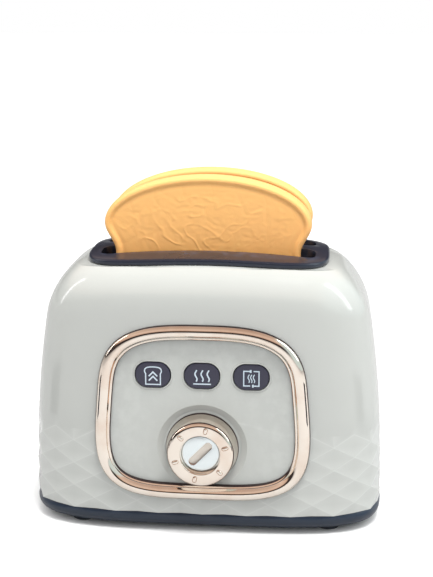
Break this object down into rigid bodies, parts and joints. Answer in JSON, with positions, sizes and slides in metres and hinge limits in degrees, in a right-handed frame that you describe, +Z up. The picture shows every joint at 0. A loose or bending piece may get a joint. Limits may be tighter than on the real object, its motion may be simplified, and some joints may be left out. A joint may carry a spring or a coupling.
{
  "type": "toy pop-up toaster",
  "caption": "Toy pop-up toaster with a faceted housing, dark base and collar, chromed bezel and timer knob, push buttons and play slices on a sprung carriage",
  "frame": {"origin": "middle of the bounding box's bottom, on the table plane under the feet, 4.8 mm in front of the middle of the housing's plan", "axes": "+X to the right seen from the front, -Y out of the front with the knob, +Z up out of the bread slots"},
  "size_m": [0.18, 0.1026, 0.177],
  "materials": {
    "cream": "gloss",
    "panel": "satin",
    "navy": "satin",
    "foot": "matte",
    "rose": "polished",
    "silver": "polished",
    "button": "gloss",
    "crust": "satin",
    "white": "satin",
    "steel": "satin",
    "brass": "satin"
  },
  "bodies": {
    "housing": {"body_shell": "cream", "base_tray": "navy", "feet": "foot", "top_collar": "navy", "bezel_ring": "rose", "control_panel": "panel", "chassis_front": "white", "chassis_rear": "white", "chassis_left": "white", "chassis_right": "white", "chassis_dividers": "white", "guide_rod_left": "steel", "guide_rod_right": "steel", "carriage_spring_left": "steel", "carriage_spring_right": "steel", "latch_spring": "steel", "timer_front_plate": "steel", "timer_rear_plate": "steel", "mainspring": "steel", "button_spring_left": "steel", "button_spring_middle": "steel", "button_spring_right": "steel", "button_bracket": "white", "base_screws": "steel", "chassis_screws": "steel", "timer_screws": "steel", "bracket_screws": "steel"},
    "dial": {"knob": "rose", "knob_disc": "silver", "timer_spindle": "steel", "timer_cam": "brass", "drive_gear": "brass"},
    "reduction": {"reduction_gear": "white"},
    "escape": {"escape_wheel": "white"},
    "pallet_arm": {"pallet": "white"},
    "latch": {"latch_lever": "white"},
    "lift": {"carriage": "white"},
    "slice_front": {"toast_front": "crust"},
    "slice_rear": {"toast_rear": "crust"},
    "press_left": {"button_left": "button"},
    "press_middle": {"button_middle": "button"},
    "press_right": {"button_right": "button"}
  },
  "joints": [
    {"name": "knob_turn", "type": "hinge", "parent": "housing", "child": "dial", "pos_m": [0, -0.03, 0.0453], "axis": [0, 1, 0], "range_deg": [0, 300], "stiffness_Nm_per_rad": 0.004, "springref_deg": -28.65, "deforming": ["mainspring"]},
    {"name": "reduction_turn", "type": "hinge", "parent": "housing", "child": "reduction", "pos_m": [-0.01459, -0.03, 0.03687], "axis": [0, 1, 0], "range_deg": [-900, 0]},
    {"name": "escape_turn", "type": "hinge", "parent": "housing", "child": "escape", "pos_m": [-0.00617, -0.03, 0.02228], "axis": [0, 1, 0], "range_deg": [0, 2700]},
    {"name": "pallet_rock", "type": "hinge", "parent": "housing", "child": "pallet_arm", "pos_m": [0.00565, -0.03, 0.02437], "axis": [0, 1, 0], "range_deg": [-2, 2]},
    {"name": "latch_swing", "type": "hinge", "parent": "housing", "child": "latch", "pos_m": [0.033, -0.03, 0.062], "axis": [0, 1, 0], "range_deg": [-9, 0], "deforming": ["latch_spring"]},
    {"name": "carriage_slide", "type": "slide", "parent": "housing", "child": "lift", "axis": [0, 0, 1], "range_m": [-0.044, 0], "stiffness_N_per_m": 80, "springref_m": 0.05, "deforming": ["carriage_spring_left", "carriage_spring_right"]},
    {"name": "toast_front_lift", "type": "slide", "parent": "lift", "child": "slice_front", "axis": [0, 0, 1], "range_m": [0, 0.1]},
    {"name": "toast_rear_lift", "type": "slide", "parent": "lift", "child": "slice_rear", "axis": [0, 0, 1], "range_m": [0, 0.1]},
    {"name": "button_left_press", "type": "slide", "parent": "housing", "child": "press_left", "axis": [0, 1, 0], "range_m": [0, 0.0015], "stiffness_N_per_m": 300, "springref_m": -0.001, "deforming": ["button_spring_left"]},
    {"name": "button_middle_press", "type": "slide", "parent": "housing", "child": "press_middle", "axis": [0, 1, 0], "range_m": [0, 0.0015], "stiffness_N_per_m": 300, "springref_m": -0.001, "deforming": ["button_spring_middle"]},
    {"name": "button_right_press", "type": "slide", "parent": "housing", "child": "press_right", "axis": [0, 1, 0], "range_m": [0, 0.0015], "stiffness_N_per_m": 300, "springref_m": -0.001, "deforming": ["button_spring_right"]}
  ],
  "couplings": [
    {"joint": "reduction_turn", "follows": "knob_turn", "ratio": -3},
    {"joint": "escape_turn", "follows": "knob_turn", "ratio": 9},
    {"joint": "latch_swing", "follows": "knob_turn", "ratio": -0.03}
  ]
}
